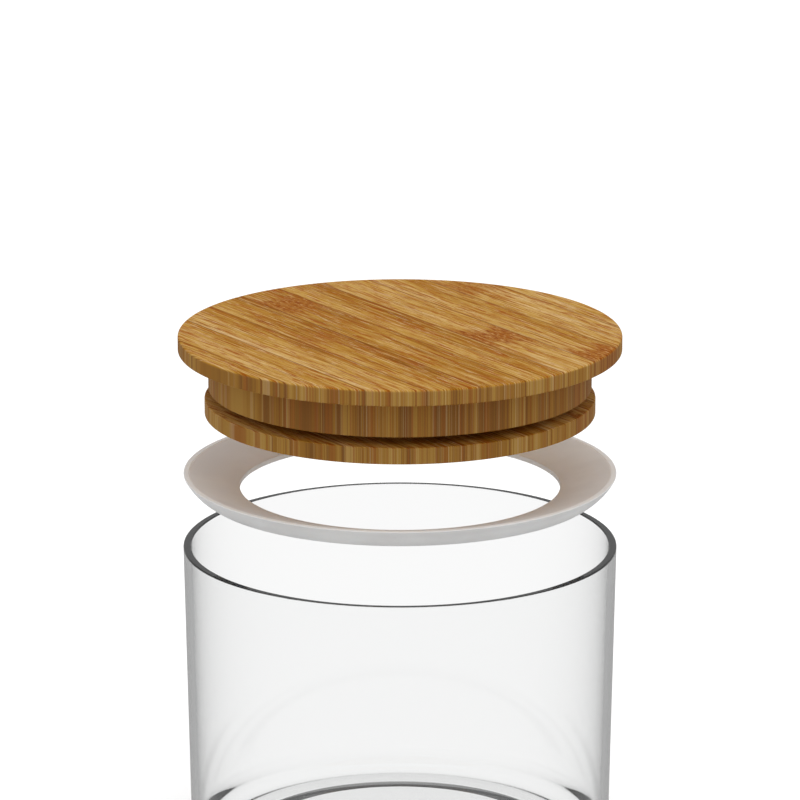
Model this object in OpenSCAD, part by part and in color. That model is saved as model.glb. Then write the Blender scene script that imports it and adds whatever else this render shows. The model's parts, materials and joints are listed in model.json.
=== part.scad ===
// Glass canister with a push-in lid of laminated bamboo and a flared silicone seal.
// Millimetres. Z points up, and the origin is the centre of the jar's base.
// The lid and the seal stand lifted off the jar, one above the other on its axis.

/* [Jar] */
// Outer radius of the mouth
jar_r = 50; // [49.5:0.1:50.5]
// Height of the jar from the table to its rim
jar_h = 74; // [64:1:110]
// Thickness of the wall at the rim
wall_t = 1.8; // [1.6:0.1:2.4]
// Inward lean of the side for each millimetre down from the rim
draft = 0.0188; // [0.008:0.0001:0.024]
// Thickness of the glass floor
floor_t = 3.4; // [2.6:0.1:5]
// Outside corner radius at the base
foot_round = 4.5; // [3:0.5:6]
// Inside corner radius between floor and wall
well_round = 6; // [4:0.5:8]
// Radius of the shallow hollow under the base
punt_r = 38; // [30:1:40]
// Height of the hollow under the base
punt_h = 0.7; // [0.3:0.1:1.2]
// Rounding of the two edges of the rim
rim_round = 0.35; // [0.2:0.05:0.6]

/* [Lid] */
// Radius of the top disc, which covers the rim
disc_r = 50.8; // [50:0.1:52]
// Thickness of the top disc
disc_t = 3.6; // [3:0.1:5]
// Width of the small bevel round the disc's upper edge
disc_bevel = 0.4; // [0.2:0.1:1]
// Radius of the plug under the disc
plug_r = 43.9; // [43:0.1:44.5]
// Height of the plug, from the disc to the seal's groove
plug_h = 9; // [6:0.5:12]
// Radius of the floor of the seal's groove
groove_r = 36.7; // [35:0.1:36.8]
// Height of the seal's groove
groove_h = 2.2; // [2:0.1:3]
// Radius of the flange below the groove
flange_r = 44.8; // [44:0.1:45.5]
// Thickness of the flange
flange_t = 3.8; // [3:0.1:5]

/* [Bamboo strips] */
// Width of one glued strip
strip_w = 11.2; // [10.8:0.1:11.4]
// Distance of the middle glue line from the centre
glue_shift = -0.8; // [-2:0.1:2]
// Direction of the grain, in degrees from the X axis
grain_angle = -56; // [-90:1:90]

/* [Seal] */
// Radius of the hole, which fits round the groove's floor
hole_r = 36.9; // [36.9:0.1:38]
// Outer radius of the flared lip
lip_r = 49.85; // [49:0.05:50]
// Thickness of the web at the hole
web_t = 1.2; // [1:0.1:1.6]
// Rise of the upper face from the hole to the lip
lip_rise = 3.3; // [2.5:0.1:4]
// Width of the flat top of the lip
lip_top_w = 1.2; // [1:0.1:2]
// Radius of the lip's lower edge
bead_r = 45.6; // [45:0.1:46]
// Radius of the arc that forms the lip's outside
lip_arc = 11; // [8:0.5:20]
// Rounding of the lip's top corner
lip_corner = 0.3; // [0.2:0.05:0.4]

/* [Lifted positions] */
// Height of the disc's underside over the rim
lid_lift = 46.5; // [36:0.5:60]
// Height of the seal's upper hole edge over the rim
seal_lift = 14.1; // [8:0.1:20]

/* [Hidden] */
STRIP_COUNT = 10;
STRIPS = [for (i = [1 : STRIP_COUNT]) str("lid_strip_", i < 10 ? "0" : "", i)];
$fn = 96;
// Angle of the jar's side from upright
lean = atan(draft);
// Heights of the lid's steps while it is lifted
disc_z = jar_h + lid_lift;
plug_z = disc_z - plug_h;
groove_z = plug_z - groove_h;
flange_z = groove_z - flange_t;
// Heights of the seal's faces while it is lifted
hole_z = jar_h + seal_lift;
web_z = hole_z - web_t;
lip_z = hole_z + lip_rise;
// Slope of the seal's upper face, from the hole to the lip's flat top
web_slope = lip_rise / (lip_r - lip_top_w - hole_r);
// Width of the flat ring under the hole's edge, and under the lip
seal_foot = 0.8;
// Length that reaches past the lid on every side
past = 2 * disc_r;

// Radius at height z of a jar surface that lies wall_in inside the outer one
function side_r(z, wall_in) = jar_r - wall_in - draft * (jar_h - z);

// Half section of a cup with a leaning side, a flat bottom and a round corner
module cup_section(low, top, corner, wall_in) {
    c = side_r(low + corner, wall_in) - corner / cos(lean);
    polygon([[0, low], [c, low],
             [c + corner * cos(lean), low + corner - corner * sin(lean)],
             [side_r(top, wall_in), top], [0, top]]);
    translate([c, low + corner]) circle(corner);
}

// What is cut away to round one edge of the rim: out is 1 outside and -1 inside
module rim_cut(wall_in, out) {
    c = [side_r(jar_h - rim_round, wall_in) - out * rim_round / cos(lean),
         jar_h - rim_round];
    touch = c + out * rim_round * [cos(lean), -sin(lean)];
    difference() {
        polygon([c, [c.x, jar_h + 1], [c.x + 2 * out * rim_round, jar_h + 1],
                 [c.x + 2 * out * rim_round, touch.y], touch]);
        translate(c) circle(rim_round);
    }
}

module glass_jar() {
    color("lightcyan", 0.4)
    rotate_extrude()
    difference() {
        cup_section(0, jar_h, foot_round, 0);
        cup_section(floor_t, jar_h + 1, well_round, wall_t);
        rim_cut(0, 1);
        rim_cut(wall_t, -1);
        // Shallow hollow with a sloping edge, which leaves a standing ring
        polygon([[0, -1], [punt_r, -1], [punt_r, 0],
                 [punt_r - 6 * punt_h, punt_h], [0, punt_h]]);
    }
}

// Outside of the lip: an arc from its lower edge up to its top corner
module lip_outside() {
    low = [bead_r, web_z];
    high = [lip_r, lip_z - lip_corner];
    chord = high - low;
    half = norm(chord) / 2;
    away = [-chord.y, chord.x] / norm(chord);
    centre = (low + high) / 2 + away * sqrt(pow(lip_arc, 2) - pow(half, 2));
    intersection() {
        translate(centre) circle(lip_arc, $fn = 360);
        polygon([low, low - away * lip_arc / 2, high - away * lip_arc / 2, high]);
    }
}

module silicone_seal() {
    web_end = bead_r - seal_foot - 1;
    color("gainsboro")
    rotate_extrude()
    difference() {
        union() {
            polygon([[hole_r, web_z], [bead_r, web_z], [lip_r, lip_z - lip_corner],
                     [lip_r - lip_corner, lip_z], [lip_r - lip_top_w, lip_z],
                     [hole_r, hole_z]]);
            translate([lip_r - lip_corner, lip_z - lip_corner]) circle(lip_corner);
            lip_outside();
        }
        // Channel under the web, which lets the ring bend
        polygon([[hole_r + seal_foot, web_z - 1], [hole_r + seal_foot, web_z],
                 [web_end, web_z + web_slope * (web_end - hole_r - seal_foot)],
                 [bead_r - seal_foot, web_z], [bead_r - seal_foot, web_z - 1]]);
    }
}

// The whole lid, as it is turned from one glued board
module lid_blank() {
    top_z = disc_z + disc_t;
    rotate_extrude()
        polygon([[0, flange_z], [flange_r, flange_z], [flange_r, groove_z],
                 [groove_r, groove_z], [groove_r, plug_z], [plug_r, plug_z],
                 [plug_r, disc_z], [disc_r, disc_z], [disc_r, top_z - disc_bevel],
                 [disc_r - disc_bevel, top_z], [0, top_z]]);
}

// One strip of the board: what lies between two glue lines.
// The first and the last strip are the outermost, and run out to the lid's edge.
module lid_strip(i) {
    middle = STRIP_COUNT / 2 + 1;
    low = i == 1 ? -past : glue_shift + (i - middle) * strip_w;
    high = i == STRIP_COUNT ? past : glue_shift + (i + 1 - middle) * strip_w;
    color(i % 2 == 0 ? "burlywood" : "tan")
    intersection() {
        lid_blank();
        rotate([0, 0, grain_angle])
            translate([-past, low, flange_z - 1])
                cube([2 * past, high - low, disc_z + disc_t - flange_z + 2]);
    }
}

glass_jar();
silicone_seal();
for (i = [1 : STRIP_COUNT]) lid_strip(i);
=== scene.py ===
"""Lidded glass canister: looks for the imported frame. Units are metres, +Z is up."""
import json
import math

import bmesh
import bpy
from mathutils import Matrix, Vector

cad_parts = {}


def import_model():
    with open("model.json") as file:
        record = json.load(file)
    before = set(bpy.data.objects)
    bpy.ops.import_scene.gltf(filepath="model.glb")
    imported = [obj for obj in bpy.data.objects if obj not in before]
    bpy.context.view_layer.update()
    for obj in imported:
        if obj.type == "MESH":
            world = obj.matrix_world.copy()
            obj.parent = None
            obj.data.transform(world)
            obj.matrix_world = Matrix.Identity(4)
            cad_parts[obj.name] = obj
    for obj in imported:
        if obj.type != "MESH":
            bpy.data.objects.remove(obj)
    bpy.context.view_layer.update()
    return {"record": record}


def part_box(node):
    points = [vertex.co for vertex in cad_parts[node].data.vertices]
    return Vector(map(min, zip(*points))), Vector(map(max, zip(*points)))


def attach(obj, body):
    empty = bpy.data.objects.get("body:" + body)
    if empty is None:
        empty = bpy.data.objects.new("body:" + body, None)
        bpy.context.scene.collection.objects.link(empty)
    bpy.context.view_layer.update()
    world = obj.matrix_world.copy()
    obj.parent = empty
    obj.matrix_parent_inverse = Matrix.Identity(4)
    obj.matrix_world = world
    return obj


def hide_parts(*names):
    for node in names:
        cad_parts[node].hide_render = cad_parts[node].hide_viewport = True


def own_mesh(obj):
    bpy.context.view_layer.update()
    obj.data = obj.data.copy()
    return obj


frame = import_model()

MM = 0.001


def srgb(r, g, b):
    """A display colour, 0 to 255, as linear RGBA."""
    def lin(c):
        c /= 255
        return c / 12.92 if c <= 0.04045 else ((c + 0.055) / 1.055) ** 2.4
    return (lin(r), lin(g), lin(b), 1.0)


# ---------------------------------------------------------------- places, all from the frame
LID_NODES = frame["record"]["behaviour"]["bodies"]["lid"]
JAR_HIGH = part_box("glass_jar")[1]
SEAL_LOW, SEAL_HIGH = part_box("silicone_seal")
LID_LOW_Z = min(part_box(node)[0][2] for node in LID_NODES)
LID_HIGH_Z = max(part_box(node)[1][2] for node in LID_NODES)
RIM_Z = JAR_HIGH[2]

# ---------------------------------------------------------------- jar sizes
JAR_R = JAR_HIGH[0]
WALL = 1.8 * MM
DRAFT = 0.0188
FLOOR_T = 3.4 * MM
FOOT_ROUND = 4.5 * MM
WELL_ROUND = 6.0 * MM
PUNT_R = 38.0 * MM
PUNT_H = 0.7 * MM
# How far the hollow under the base runs in for each unit that it rises
PUNT_SLOPE = 6
RIM_ROUND = 0.35 * MM

# ---------------------------------------------------------------- lid sizes
DISC_R = max(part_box(node)[1][0] for node in LID_NODES)
DISC_T = 3.6 * MM
DISC_ROUND = 0.55 * MM
PLUG_R = 43.9 * MM
PLUG_H = 9.0 * MM
GROOVE_R = 36.7 * MM
GROOVE_H = 2.2 * MM
FLANGE_R = 44.8 * MM
EDGE_ROUND = 0.25 * MM
STRIP_W = 11.2 * MM
GLUE_SHIFT = -0.8 * MM
GRAIN_ANGLE = math.radians(-56)

# ---------------------------------------------------------------- seal sizes
# The lip is a little narrower than its CAD solid, so that it stays inside the wall when the lid is closed
LIP_INSET = 0.08 * MM
LIP_R = SEAL_HIGH[0] - LIP_INSET
LIP_RISE = 3.3 * MM
LIP_TOP_W = 1.2 * MM
# Radius of the arc from the bead up the outside of the lip
LIP_ARC = 11.0 * MM
# The lip's outer corner is round from this many degrees over level, and its inner one has a small slant
LIP_ROUND = 0.2 * MM
LIP_CORNER_START = 10
LIP_SLANT = 0.12 * MM
# The upward faces on top of the lip get a paler colour as painted light: how far under its highest point,
# and how much they face upwards
LIP_PAINTED_LIGHT_DEPTH = 0.15 * MM
LIP_PAINTED_LIGHT_FACING = 0.5
BEAD_R = 45.6 * MM
# The bead's corner is cut off: so much of the flat under it, and so many degrees of the lip's arc
BEAD_ROUND = 0.15 * MM
BEAD_TURN = 0.8
HOLE_R = 36.9 * MM
# The small slants at the hole's lower and upper edge
HOLE_ROUND = 0.1 * MM
HOLE_TOP_W = 0.12 * MM
HOLE_TOP_RISE = 0.02 * MM
WEB_T = 1.2 * MM
# Underneath, a channel lies between two narrow flats, and its outer side slants
SEAL_FOOT = 0.8 * MM
CHANNEL_SLANT_W = 1.0 * MM

# ---------------------------------------------------------------- mesh detail
ROUND_STEPS = 256
LID_STEPS = 384
FOOT_STEPS = 20
WELL_STEPS = 24
LIP_STEPS = 14
CORNER_STEPS = 8
EDGE_STEPS = 4
# Extra points near the ends of a long stretch: how near, and how many such gaps make a stretch long
HOLD_GAP = 0.12 * MM
LONG_STRETCH = 4
SHARP_DEG = 30
SEAL_SHARP_DEG = 12
# Lengths under this count as nothing
TINY = 1e-7

# ---------------------------------------------------------------- glass
GLASS_IOR = 1.5
GLASS_COLOUR = (0.90, 0.93, 0.92, 1)
GLASS_TINT = 40.0

# ---------------------------------------------------------------- silicone
# Each kind: its darker and its paler colour, which a soft cloudy noise mixes
SILICONE_BODY = (srgb(232, 231, 230), srgb(239, 239, 238))
# The lip's colours are paler than the body's: painted light on the upward faces of the lip's top
SILICONE_LIP_PAINTED_LIGHT = (srgb(249, 249, 248), srgb(252, 252, 251))
CLOUD_SCALE = 70.0
CLOUD_DETAIL = 3.0
CLOUD_RANGE = (0.35, 0.65)
DUST_SCALE = 1400.0
DUST_RANGE = (0.62, 0.75)
DUST_STRENGTH = 0.3
DUST_COLOUR = (0.86, 0.86, 0.86, 1)
DUST_RELIEF = 0.02 * MM
DUST_BUMP = 0.4
SILICONE_ROUGH = (0.5, 0.62)
SILICONE_ROUGH_RANGE = (0.3, 0.7)
SILICONE_GLOW = 0.2
SILICONE_GLOW_RADIUS = (1.6 * MM, 1.4 * MM, 1.2 * MM)

# ---------------------------------------------------------------- bamboo
# Lengths and widths of noise are in mm. A pair of strengths is for flat faces and for upright faces.
# A strip's colour runs along these tones, from dark to pale
TONES = [
    (0.0, srgb(134, 80, 16)),
    (0.25, srgb(171, 116, 32)),
    (0.5, srgb(195, 147, 63)),
    (0.75, srgb(211, 169, 97)),
    (1.0, srgb(232, 201, 152)),
]
MIDDLE_TONE = 0.5
STRIP_MIDDLE = 0.5
BROAD_FIBRES = (50.0, 2.4)
BROAD_STRENGTHS = (0.85, 1.5)
BROAD_SEED = 2
FINE_FIBRES = (16.0, 0.32)
FINE_STRENGTHS = (1.3, 1.0)
FINE_SEED = 1
FINE_DETAIL = 3.0
FIBRE_ROUGHNESS = 0.55
NOISE_MIDDLE = 0.5
SEED_GAP = 7.3

# Marks over the tones, in the order they are drawn: length, width, the noise range over which they
# come in, their pair of strengths and their colour
MARKS = [
    # brown patches
    (24.0, 2.2, 0.50, 0.68, 0.50, 0.55, srgb(168, 100, 16)),
    # long pale lines
    (34.0, 0.42, 0.57, 0.67, 0.60, 0.45, srgb(224, 186, 126)),
    # orange dashes
    (8.0, 0.44, 0.55, 0.61, 0.80, 0.60, srgb(162, 82, 12)),
    # short orange dashes
    (4.0, 0.34, 0.58, 0.65, 0.50, 0.30, srgb(166, 88, 10)),
    # long dark lines
    (40.0, 0.32, 0.60, 0.66, 0.70, 0.70, srgb(122, 58, 4)),
    # pale flecks
    (5.5, 0.24, 0.60, 0.69, 0.52, 0.30, srgb(234, 206, 162)),
]
FIRST_MARK_SEED = 3

# How far the fibres wander sideways, and how fast along and across the strip
WANDER = 1.4
WANDER_ALONG = 0.03
WANDER_ACROSS = 0.08
WANDER_DETAIL = 1.0

# Knuckles: the noise that makes their outline ragged and its reach, the noise of the spots inside, and
# the share of a knuckle's half length that has its full colour
RAGGED_NOISE = (14.0, 1.3)
RAGGED_REACH = 22.0
RAGGED_PHASE = 41.0
SPOT_NOISE = (2.2, 0.55)
SPOT_DETAIL = 3.0
SPOT_ROUGHNESS = 0.6
SPOT_DISTORTION = 0.2
SPOT_PHASE = 31.0
KNUCKLE_CORE = 0.35
KNUCKLE_STRENGTH = 0.8
KNUCKLE_COLOUR = srgb(166, 97, 26)
# Spots in a knuckle: the noise range over which they come in, their strength and their colour
KNUCKLE_SPOTS = [
    (0.50, 0.60, 0.9, srgb(140, 66, 8)),
    (0.42, 0.34, 0.6, srgb(222, 178, 120)),
]

# Glue lines, as shares of a strip's width from its edge
GLUE_FAR = 0.030
GLUE_NEAR = 0.008
GLUE_STRENGTH = 0.6
GLUE_COLOUR = srgb(124, 68, 20)

# A face is flat or upright by the upward part of its normal
FLAT_NORMAL = 0.75
UPRIGHT_NORMAL = 0.35
UPRIGHT_GREY = 0.27
UPRIGHT_COLOUR = srgb(153, 127, 88)
# Painted shade under the disc's overhang: the plug's side, and all that lies further in, is darker than the
# rim of the disc and of the flange
PLUG_PAINTED_SHADE = -0.20
PLUG_SHADE_FULL = 0.2 * MM
PLUG_SHADE_NONE = 0.5 * MM

WOOD_ROUGH = (0.62, 0.46)
WOOD_ROUGH_RANGE = (0.3, 0.7)
WOOD_SHINE = 0.02
WOOD_RELIEF = 0.05 * MM
WOOD_BUMP = 0.35

# One row per strip: tone of its flat faces, tone of its upright faces, change across the strip, and its
# knuckles as (place along in mm, half length in mm, strength)
STRIPS = [
    (-0.02, -0.26, 0.15, []),
    (-0.02, -0.28, 0.20, []),
    (0.02, -0.17, 0.50, []),
    (-0.13, -0.15, 0.32, [(-6.0, 6.0, 0.4)]),
    (-0.12, -0.15, 0.04, [(-35.0, 10.0, 0.9)]),
    (-0.13, -0.15, 0.34, []),
    (0.13, -0.17, 0.20, [(14.5, 9.0, 1.0)]),
    (0.02, -0.18, 0.25, [(41.0, 9.0, 1.0)]),
    (0.12, -0.18, -0.16, [(-26.0, 7.0, 0.6)]),
    (0.18, -0.15, 0.00, []),
]
STRIP_PHASE = 17.0

# ---------------------------------------------------------------- surroundings
# Brightness by kind of ray. The LOW and HIGH values are the upward part of the ray's direction.
# Seen by the camera itself
BACKDROP = 1.0
# Straight through the glass: bright up to a little above the horizon, dim higher up
THROUGH_SKY = 0.25
THROUGH_LOW = 0.02
THROUGH_HIGH = 0.25
# Mirrored in the glass, and weaker at each further reflection
MIRRORED = 0.5
MIRROR_FADE = 0.5
# Falling on the wood, the silicone and the floor
GROUND_GLOW = 0.47
SKY_GLOW = 0.82
GLOW_LOW = 0.0
GLOW_HIGH = 0.8

KEY_PLACE = (0.1, -0.3, 1.5)
KEY_TARGET = (0, 0, 0.1)
KEY_SIZE = 1.0
KEY_POWER = 4.0

FLOOR_R = 3.0
FLOOR_SIDES = 96
FLOOR_DROP = 0.2 * MM
FLOOR_COLOUR = (0.9, 0.9, 0.9, 1)
FLOOR_ROUGH = 0.8
FLOOR_SHINE = 0.1
FLOOR_GLOW = 0.4
WHITE = (1, 1, 1, 1)

# ---------------------------------------------------------------- camera
# It looks down, by CAMERA_TILT, at the point on the axis that is CAMERA_AIM over the jar's rim
CAMERA_TILT = math.radians(15.32)
CAMERA_FAR = 1.2074
CAMERA_AIM = 34.1 * MM
CAMERA_REACH = 50
# Focal length and sensor width in mm, as Blender takes them
LENS = 237.0
SENSOR = 36.0


# ---------------------------------------------------------------- mesh helpers
def arc(centre, radius, start, end, steps):
    """Points (r, z) on an arc; angles are in degrees, anticlockwise from +r."""
    out = []
    for i in range(steps + 1):
        a = math.radians(start + (end - start) * i / steps)
        out.append((centre[0] + radius * math.cos(a), centre[1] + radius * math.sin(a)))
    return out


def held(outline):
    """The outline with extra points near both ends of each long stretch, which keep its shading flat."""
    out = []
    for k, start in enumerate(outline):
        end = outline[(k + 1) % len(outline)]
        out.append(start)
        length = math.dist(start, end)
        if length > LONG_STRETCH * HOLD_GAP:
            for t in (HOLD_GAP / length, 1 - HOLD_GAP / length):
                point = (start[0] + (end[0] - start[0]) * t, start[1] + (end[1] - start[1]) * t)
                if point[0] > HOLD_GAP:
                    out.append(point)
    return out


def ring_of(bm, r, z, steps):
    """One ring of the lathe's vertices, or a single vertex on the axis."""
    if r < TINY:
        return [bm.verts.new((0, 0, z))]
    turns = [2 * math.pi * i / steps for i in range(steps)]
    return [bm.verts.new((r * math.cos(a), r * math.sin(a), z)) for a in turns]


def lathe(name, outline, steps=ROUND_STEPS, sharp_deg=SHARP_DEG):
    """A closed solid of revolution. The outline runs anticlockwise in (r, z)."""
    bm = bmesh.new()
    rings = [ring_of(bm, r, z, steps) for r, z in held(outline)]
    for k, a in enumerate(rings):
        b = rings[(k + 1) % len(rings)]
        if len(a) == 1 and len(b) == 1:
            continue
        for i in range(steps):
            j = (i + 1) % steps
            if len(a) == 1:
                bm.faces.new((a[0], b[j], b[i]))
            elif len(b) == 1:
                bm.faces.new((a[i], a[j], b[0]))
            else:
                bm.faces.new((a[i], a[j], b[j], b[i]))
    bmesh.ops.recalc_face_normals(bm, faces=bm.faces)
    return finish_mesh(name, bm, sharp_deg)


def finish_mesh(name, bm, sharp_deg=SHARP_DEG):
    """Smooth faces with sharp edges over an angle, as a new object in the scene."""
    for face in bm.faces:
        face.smooth = True
    limit = math.radians(sharp_deg)
    for edge in bm.edges:
        if len(edge.link_faces) == 2 and edge.calc_face_angle(0) > limit:
            edge.smooth = False
    mesh = bpy.data.meshes.new(name)
    bm.to_mesh(mesh)
    bm.free()
    obj = bpy.data.objects.new(name, mesh)
    bpy.context.scene.collection.objects.link(obj)
    return obj


# ---------------------------------------------------------------- node helpers
class Nodes:
    """A short way to build one node tree. A value is a constant or another node's output."""

    def __init__(self, tree):
        self.tree = tree
        tree.nodes.clear()

    def add(self, kind, **settings):
        node = self.tree.nodes.new(kind)
        for key, value in settings.items():
            setattr(node, key, value)
        return node

    def put(self, socket, value):
        """Give a socket a constant or a link."""
        if isinstance(value, bpy.types.NodeSocket):
            self.tree.links.new(value, socket)
        else:
            socket.default_value = value

    def math(self, operation, *values):
        node = self.add("ShaderNodeMath", operation=operation)
        for i, value in enumerate(values):
            self.put(node.inputs[i], value)
        return node.outputs[0]

    def times(self, a, b):
        return self.math("MULTIPLY", a, b)

    def plus(self, a, b):
        return self.math("ADD", a, b)

    def smooth(self, value, low, high, to_low=0.0, to_high=1.0):
        """A soft step from to_low to to_high as value goes from low to high."""
        node = self.add("ShaderNodeMapRange", interpolation_type="SMOOTHSTEP")
        self.put(node.inputs["Value"], value)
        self.put(node.inputs["From Min"], low)
        self.put(node.inputs["From Max"], high)
        self.put(node.inputs["To Min"], to_low)
        self.put(node.inputs["To Max"], to_high)
        return node.outputs["Result"]

    def mix(self, factor, a, b, kind="RGBA", blend="MIX"):
        """a where factor is 0 and b where it is 1."""
        node = self.add("ShaderNodeMix", data_type=kind, blend_type=blend)
        self.put(node.inputs["Factor"], factor)
        self.put(node.inputs["A"], a)
        self.put(node.inputs["B"], b)
        return node.outputs["Result"]

    def noise(self, vector, scale=1.0, detail=2.0, roughness=0.5, distortion=0.0):
        node = self.add("ShaderNodeTexNoise")
        self.put(node.inputs["Vector"], vector)
        self.put(node.inputs["Scale"], scale)
        self.put(node.inputs["Detail"], detail)
        self.put(node.inputs["Roughness"], roughness)
        self.put(node.inputs["Distortion"], distortion)
        return node.outputs["Fac"]

    def vector(self, x, y, z):
        node = self.add("ShaderNodeCombineXYZ")
        for i, value in enumerate((x, y, z)):
            self.put(node.inputs[i], value)
        return node.outputs[0]

    def split(self, vector):
        """The x, y and z of a vector."""
        node = self.add("ShaderNodeSeparateXYZ")
        self.put(node.inputs[0], vector)
        return node.outputs[0], node.outputs[1], node.outputs[2]


class Surface(Nodes):
    """The nodes of one material, with its shader already in place."""

    def __init__(self, name):
        self.material = bpy.data.materials.new(name)
        self.material.use_nodes = True
        super().__init__(self.material.node_tree)
        self.out = self.add("ShaderNodeOutputMaterial")
        self.shader = self.add("ShaderNodeBsdfPrincipled")
        self.put(self.out.inputs["Surface"], self.shader.outputs[0])

    def set(self, **values):
        """Shader inputs by name, with _ for each space."""
        for key, value in values.items():
            self.put(self.shader.inputs[key.replace("_", " ")], value)

    def bump(self, height, distance, strength):
        node = self.add("ShaderNodeBump")
        self.put(node.inputs["Strength"], strength)
        self.put(node.inputs["Distance"], distance)
        self.put(node.inputs["Height"], height)
        self.set(Normal=node.outputs[0])


# ---------------------------------------------------------------- materials
def glass_material():
    n = Surface("clear_glass")
    n.set(Base_Color=WHITE, Transmission_Weight=1.0, IOR=GLASS_IOR, Roughness=0.0)
    tint = n.add("ShaderNodeVolumeAbsorption")
    n.put(tint.inputs["Color"], GLASS_COLOUR)
    n.put(tint.inputs["Density"], GLASS_TINT)
    n.put(n.out.inputs["Volume"], tint.outputs[0])
    return n.material


def silicone_material(name, low_colour, high_colour):
    n = Surface(name)
    where = n.add("ShaderNodeTexCoord").outputs["Object"]
    cloud = n.noise(where, scale=CLOUD_SCALE, detail=CLOUD_DETAIL)
    dust = n.noise(where, scale=DUST_SCALE)
    colour = n.mix(n.smooth(cloud, *CLOUD_RANGE), low_colour, high_colour)
    dusty = n.smooth(dust, *DUST_RANGE, 0.0, DUST_STRENGTH)
    colour = n.mix(dusty, colour, DUST_COLOUR, blend="MULTIPLY")
    rough = n.smooth(cloud, *SILICONE_ROUGH_RANGE, *SILICONE_ROUGH)
    n.set(Base_Color=colour, Roughness=rough)
    n.set(Subsurface_Weight=SILICONE_GLOW, Subsurface_Radius=SILICONE_GLOW_RADIUS, Subsurface_Scale=1.0)
    n.bump(dust, DUST_RELIEF, DUST_BUMP)
    return n.material


class Bamboo(Surface):
    """One strip's material, with its own place in the grain."""

    def __init__(self, name, phase):
        super().__init__(name)
        self.phase = phase
        coordinates = self.add("ShaderNodeTexCoord")
        turn = self.add("ShaderNodeVectorRotate", rotation_type="Z_AXIS")
        self.put(turn.inputs["Vector"], coordinates.outputs["Object"])
        self.put(turn.inputs["Angle"], -GRAIN_ANGLE)
        along, across, _ = self.split(turn.outputs[0])
        self.along = self.math("DIVIDE", along, MM)
        self.across = self.math("DIVIDE", across, MM)

        _, _, facing_up = self.split(coordinates.outputs["Normal"])
        self.upright = self.smooth(self.math("ABSOLUTE", facing_up), FLAT_NORMAL, UPRIGHT_NORMAL)
        squares = self.plus(self.times(self.along, self.along), self.times(self.across, self.across))
        out_from_axis = self.math("SQRT", squares)
        # Mask of the painted shade under the disc: 1 on the plug's side and further in, 0 out at the rims
        self.plug = self.smooth(out_from_axis, (PLUG_R + PLUG_SHADE_NONE) / MM, (PLUG_R + PLUG_SHADE_FULL) / MM)

        # place across the strip, 0 at its low edge and 1 at its high edge
        from_glue = self.math("SUBTRACT", self.across, GLUE_SHIFT / MM)
        self.place = self.math("FRACT", self.math("DIVIDE", from_glue, STRIP_W / MM))

        # the fibres wander a little from side to side
        slow = self.vector(
            self.times(self.along, WANDER_ALONG), self.times(self.across, WANDER_ACROSS), phase
        )
        drift = self.swing(self.noise(slow, detail=WANDER_DETAIL), WANDER)
        self.fibre_side = self.plus(self.across, drift)

    def grain(self, size, side, phase, **settings):
        """Noise drawn out along the grain; size is its length and width in mm."""
        length, width = size
        spot = self.vector(
            self.math("DIVIDE", self.along, length), self.math("DIVIDE", side, width), phase
        )
        return self.noise(spot, **settings)

    def fibres(self, size, seed, detail=2.0):
        """Grain that follows the wandering fibres."""
        phase = self.phase + SEED_GAP * seed
        return self.grain(size, self.fibre_side, phase, detail=detail, roughness=FIBRE_ROUGHNESS)

    def by_face(self, flat, side):
        """One value on flat faces and another on upright ones."""
        return self.plus(self.times(self.upright, side - flat), flat)

    def swing(self, noise, strength):
        """Noise about zero, with a strength."""
        return self.times(self.math("SUBTRACT", noise, NOISE_MIDDLE), strength)

    def toned(self, value):
        """The strip's colour at a tone between 0 and 1."""
        ramp = self.add("ShaderNodeValToRGB")
        stops = ramp.color_ramp.elements
        stops[0].color = TONES[0][1]
        stops[1].color = TONES[-1][1]
        for position, colour in TONES[1:-1]:
            stops.new(position).color = colour
        self.put(ramp.inputs["Fac"], value)
        return ramp.outputs["Color"]

    def marked(self, colour):
        """The colour with the marks over it."""
        for i, (length, width, low, high, flat, side, shade) in enumerate(MARKS):
            mark = self.smooth(self.fibres((length, width), i + FIRST_MARK_SEED), low, high)
            colour = self.mix(self.times(mark, self.by_face(flat, side)), colour, shade)
        return colour

    def with_knuckles(self, colour, knuckles):
        """The colour with ragged patches right across the strip, reddish, with darker and paler spots."""
        ragged = self.grain(RAGGED_NOISE, self.across, self.phase + RAGGED_PHASE)
        ragged = self.swing(ragged, RAGGED_REACH)
        spots = self.grain(
            SPOT_NOISE, self.across, self.phase + SPOT_PHASE,
            detail=SPOT_DETAIL, roughness=SPOT_ROUGHNESS, distortion=SPOT_DISTORTION,
        )
        for centre, half, strength in knuckles:
            offset = self.math("SUBTRACT", self.plus(self.along, ragged), centre)
            inside = self.smooth(self.math("ABSOLUTE", offset), half, half * KNUCKLE_CORE)
            colour = self.mix(self.times(inside, KNUCKLE_STRENGTH * strength), colour, KNUCKLE_COLOUR)
            for low, high, spot_strength, shade in KNUCKLE_SPOTS:
                spot = self.smooth(spots, low, high, 0.0, spot_strength * strength)
                colour = self.mix(self.times(inside, spot), colour, shade)
        return colour

    def with_glue_lines(self, colour):
        edge = self.math("MINIMUM", self.place, self.math("SUBTRACT", 1.0, self.place))
        line = self.smooth(edge, GLUE_FAR, GLUE_NEAR, 0.0, GLUE_STRENGTH)
        return self.mix(line, colour, GLUE_COLOUR)


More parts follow.
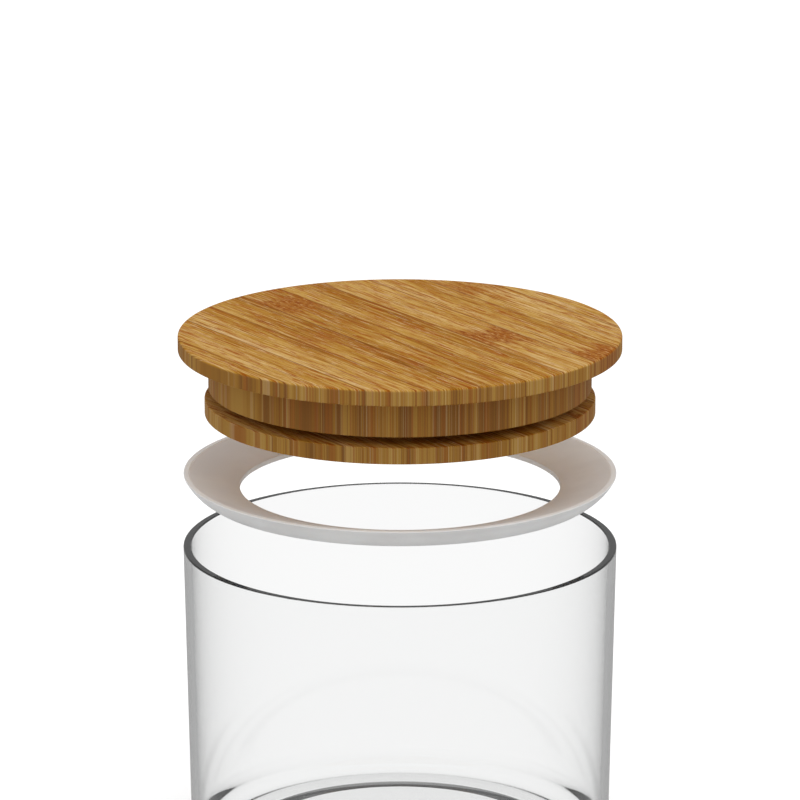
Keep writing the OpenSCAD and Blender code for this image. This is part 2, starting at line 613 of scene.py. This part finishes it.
def bamboo_material(name, tone, side_tone, lean, phase, knuckles):
    """One strip: its tones on flat and on upright faces, its change across, its phase and its knuckles."""
    n = Bamboo(name, phase)
    fine = n.fibres(FINE_FIBRES, FINE_SEED, detail=FINE_DETAIL)
    broad = n.fibres(BROAD_FIBRES, BROAD_SEED)
    value = n.swing(broad, n.by_face(*BROAD_STRENGTHS))
    value = n.plus(value, n.swing(fine, n.by_face(*FINE_STRENGTHS)))
    value = n.plus(value, n.times(n.math("SUBTRACT", STRIP_MIDDLE, n.place), lean))
    value = n.plus(value, n.by_face(tone, side_tone))
    # Painted shade on the upright faces from the plug's side inwards, under the disc's overhang
    value = n.plus(value, n.times(n.times(n.upright, n.plug), PLUG_PAINTED_SHADE))
    value = n.plus(value, MIDDLE_TONE)
    colour = n.marked(n.toned(value))
    colour = n.with_glue_lines(n.with_knuckles(colour, knuckles))
    colour = n.mix(n.times(n.upright, UPRIGHT_GREY), colour, UPRIGHT_COLOUR)
    rough = n.smooth(fine, *WOOD_ROUGH_RANGE, *WOOD_ROUGH)
    n.set(Base_Color=colour, Roughness=rough, Specular_IOR_Level=WOOD_SHINE)
    n.bump(fine, WOOD_RELIEF, WOOD_BUMP)
    return n.material


def floor_material():
    n = Surface("floor_paint")
    n.set(Base_Color=FLOOR_COLOUR, Roughness=FLOOR_ROUGH, Specular_IOR_Level=FLOOR_SHINE)
    n.set(Emission_Color=WHITE, Emission_Strength=FLOOR_GLOW)
    return n.material


# ---------------------------------------------------------------- jar
def side_r(z, wall_in):
    """Radius at height z of a jar surface that lies wall_in inside the outer one."""
    return JAR_R - wall_in - DRAFT * (RIM_Z - z)


def jar():
    lean = math.atan(DRAFT)
    deg = math.degrees(lean)

    def corner(z, radius, wall_in, side=-1):
        """Centre of a rounding that touches the leaning side; side is -1 inside it and 1 outside."""
        return (side_r(z, wall_in) + side * radius / math.cos(lean), z)

    foot = corner(FOOT_ROUND, FOOT_ROUND, 0.0)
    rim_out = corner(RIM_Z - RIM_ROUND, RIM_ROUND, 0.0)
    rim_in = corner(RIM_Z - RIM_ROUND, RIM_ROUND, WALL, side=1)
    well = corner(FLOOR_T + WELL_ROUND, WELL_ROUND, WALL)
    outline = [(0, PUNT_H), (PUNT_R - PUNT_SLOPE * PUNT_H, PUNT_H), (PUNT_R, 0)]
    outline += arc(foot, FOOT_ROUND, -90, -deg, FOOT_STEPS)
    outline += arc(rim_out, RIM_ROUND, -deg, 90, CORNER_STEPS)
    outline += arc(rim_in, RIM_ROUND, 90, 180 - deg, CORNER_STEPS)
    outline += arc(well, WELL_ROUND, -deg, -90, WELL_STEPS)
    outline.append((0, FLOOR_T))
    obj = lathe("jar_glass", outline)
    obj.data.materials.append(glass_material())
    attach(obj, "jar")
    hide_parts("glass_jar")


# ---------------------------------------------------------------- seal
def lip_outside(web_z, lip_z):
    """Outside of the lip: an arc from the bead up to the lip's rounded corner."""
    low = Vector((BEAD_R, web_z))
    high = Vector((LIP_R, lip_z - LIP_ROUND))
    chord = high - low
    away = Vector((-chord.y, chord.x)).normalized()
    centre = (low + high) / 2 + away * math.sqrt(LIP_ARC ** 2 - (chord.length / 2) ** 2)
    start, end = (math.degrees(math.atan2(p.y - centre.y, p.x - centre.x)) for p in (low, high))
    return arc(centre, LIP_ARC, start + BEAD_TURN, end, LIP_STEPS)


def seal_outline(web_z, lip_z):
    hole_z = web_z + WEB_T
    slope = LIP_RISE / (LIP_R - LIP_TOP_W - HOLE_R)
    channel_in = HOLE_R + SEAL_FOOT
    channel_out = BEAD_R - SEAL_FOOT
    channel_top = channel_out - CHANNEL_SLANT_W
    outline = [
        (HOLE_R, web_z + HOLE_ROUND),
        (HOLE_R + HOLE_ROUND, web_z),
        (channel_in, web_z),
        (channel_top, web_z + slope * (channel_top - channel_in)),
        (channel_out, web_z),
        (BEAD_R - BEAD_ROUND, web_z),
    ]
    outline += lip_outside(web_z, lip_z)
    lip_corner = (LIP_R - LIP_ROUND, lip_z - LIP_ROUND)
    outline += arc(lip_corner, LIP_ROUND, LIP_CORNER_START, 90, CORNER_STEPS)
    outline += [
        (LIP_R - LIP_TOP_W, lip_z),
        (LIP_R - LIP_TOP_W - LIP_SLANT, lip_z - LIP_SLANT),
        (HOLE_R + HOLE_TOP_W, hole_z + HOLE_TOP_RISE),
        (HOLE_R, hole_z - HOLE_ROUND),
    ]
    return outline


def seal():
    web_z = SEAL_LOW[2]
    lip_z = SEAL_HIGH[2]
    obj = lathe("seal_ring", seal_outline(web_z, lip_z), sharp_deg=SEAL_SHARP_DEG)
    obj.data.materials.append(silicone_material("silicone", *SILICONE_BODY))
    obj.data.materials.append(silicone_material("silicone_lip_painted_light", *SILICONE_LIP_PAINTED_LIGHT))
    # Painted light: the upward faces on the lip's top take the paler silicone
    for face in obj.data.polygons:
        if face.normal.z > LIP_PAINTED_LIGHT_FACING and face.center.z > lip_z - LIP_PAINTED_LIGHT_DEPTH:
            face.material_index = 1
    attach(obj, "seal")
    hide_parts("silicone_seal")
    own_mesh(obj)


# ---------------------------------------------------------------- lid
def lid_outline():
    top = LID_HIGH_Z
    disc = top - DISC_T
    plug = disc - PLUG_H
    groove = plug - GROOVE_H
    bottom = LID_LOW_Z

    def low_edge(r, z):
        return arc((r - EDGE_ROUND, z + EDGE_ROUND), EDGE_ROUND, -90, 0, EDGE_STEPS)

    outline = [(0, bottom)]
    outline += low_edge(FLANGE_R, bottom)
    outline += arc((FLANGE_R - EDGE_ROUND, groove - EDGE_ROUND), EDGE_ROUND, 0, 90, EDGE_STEPS)
    outline += [(GROOVE_R, groove), (GROOVE_R, plug)]
    outline += low_edge(PLUG_R, plug)
    outline += [(PLUG_R, disc)]
    outline += low_edge(DISC_R, disc)
    outline += arc((DISC_R - DISC_ROUND, top - DISC_ROUND), DISC_ROUND, 0, 90, CORNER_STEPS)
    outline += [(0, top)]
    return outline


def cut_away(bm, place, across, keep_above):
    """Cut bm at one glue line, keep one side, and close the cut."""
    geom = list(bm.verts) + list(bm.edges) + list(bm.faces)
    cut = bmesh.ops.bisect_plane(
        bm, geom=geom, dist=TINY, plane_co=across * place, plane_no=across,
        clear_inner=keep_above, clear_outer=not keep_above,
    )
    edges = [e for e in cut["geom_cut"] if isinstance(e, bmesh.types.BMEdge)]
    bmesh.ops.holes_fill(bm, edges=edges, sides=0)


def lid():
    """The lid, cut at its glue lines into one piece per strip. The outermost strips run to its edge."""
    blank = lathe("lid_blank", lid_outline(), steps=LID_STEPS)
    across = Matrix.Rotation(GRAIN_ANGLE, 3, "Z") @ Vector((0, 1, 0))
    for i, (node, (tone, side_tone, lean, knuckles)) in enumerate(zip(LID_NODES, STRIPS)):
        low = GLUE_SHIFT + (i - len(STRIPS) // 2) * STRIP_W
        bm = bmesh.new()
        bm.from_mesh(blank.data)
        if i > 0:
            cut_away(bm, low, across, keep_above=True)
        if i < len(STRIPS) - 1:
            cut_away(bm, low + STRIP_W, across, keep_above=False)
        obj = finish_mesh(node.replace("lid_strip", "bamboo_strip"), bm)
        phase = STRIP_PHASE * (i + 1)
        name = f"bamboo_{i + 1:02d}"
        obj.data.materials.append(bamboo_material(name, tone, side_tone, lean, phase, knuckles))
        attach(obj, "lid")
        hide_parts(node)
    bpy.data.objects.remove(blank, do_unlink=True)


# ---------------------------------------------------------------- stage, light and camera
def world():
    """A white studio whose brightness depends on the kind of ray and on how far up it looks."""
    studio = bpy.data.worlds.new("studio")
    bpy.context.scene.world = studio
    studio.use_nodes = True
    n = Nodes(studio.node_tree)
    out = n.add("ShaderNodeOutputWorld")
    background = n.add("ShaderNodeBackground")
    n.put(background.inputs["Color"], WHITE)
    n.put(out.inputs["Surface"], background.outputs[0])

    _, _, up = n.split(n.add("ShaderNodeTexCoord").outputs["Generated"])
    rays = n.add("ShaderNodeLightPath").outputs
    reflections = rays["Glossy Depth"]
    fade = n.math("POWER", MIRROR_FADE, n.math("SUBTRACT", reflections, 1.0))
    mirrored = n.times(fade, MIRRORED)
    level = n.smooth(up, THROUGH_LOW, THROUGH_HIGH, BACKDROP, THROUGH_SKY)
    level = n.mix(n.math("MINIMUM", reflections, 1.0), level, mirrored, kind="FLOAT")
    glow = n.smooth(up, GLOW_LOW, GLOW_HIGH, GROUND_GLOW, SKY_GLOW)
    level = n.mix(rays["Is Diffuse Ray"], level, glow, kind="FLOAT")
    level = n.mix(rays["Is Camera Ray"], level, BACKDROP, kind="FLOAT")
    n.put(background.inputs["Strength"], level)


def floor():
    """A pale floor that only the camera sees, with the shadows on it. The glass sees the studio instead."""
    bm = bmesh.new()
    bmesh.ops.create_circle(bm, cap_ends=True, segments=FLOOR_SIDES, radius=FLOOR_R)
    obj = finish_mesh("floor", bm)
    obj.location.z = -FLOOR_DROP
    obj.data.materials.append(floor_material())
    obj.visible_transmission = False
    obj.visible_glossy = False
    obj.visible_diffuse = False
    obj.visible_shadow = False


def key_light():
    light = bpy.data.lights.new("key", "AREA")
    light.shape = "DISK"
    light.size = KEY_SIZE
    light.energy = KEY_POWER
    obj = bpy.data.objects.new("key", light)
    obj.location = KEY_PLACE
    direction = Vector(KEY_TARGET) - Vector(KEY_PLACE)
    obj.rotation_euler = direction.to_track_quat("-Z", "Y").to_euler()
    obj.visible_glossy = False
    obj.visible_transmission = False
    bpy.context.scene.collection.objects.link(obj)


def camera():
    data = bpy.data.cameras.new("camera")
    data.lens = LENS
    data.sensor_width = SENSOR
    data.clip_end = CAMERA_REACH
    obj = bpy.data.objects.new("camera", data)
    aim = Vector((0, 0, RIM_Z + CAMERA_AIM))
    obj.location = aim + CAMERA_FAR * Vector((0, -math.cos(CAMERA_TILT), math.sin(CAMERA_TILT)))
    obj.rotation_euler = (math.pi / 2 - CAMERA_TILT, 0, 0)
    bpy.context.scene.collection.objects.link(obj)
    bpy.context.scene.camera = obj


camera()
jar()
seal()
lid()
world()
floor()
key_light()
bpy.context.scene.view_settings.view_transform = "Standard"
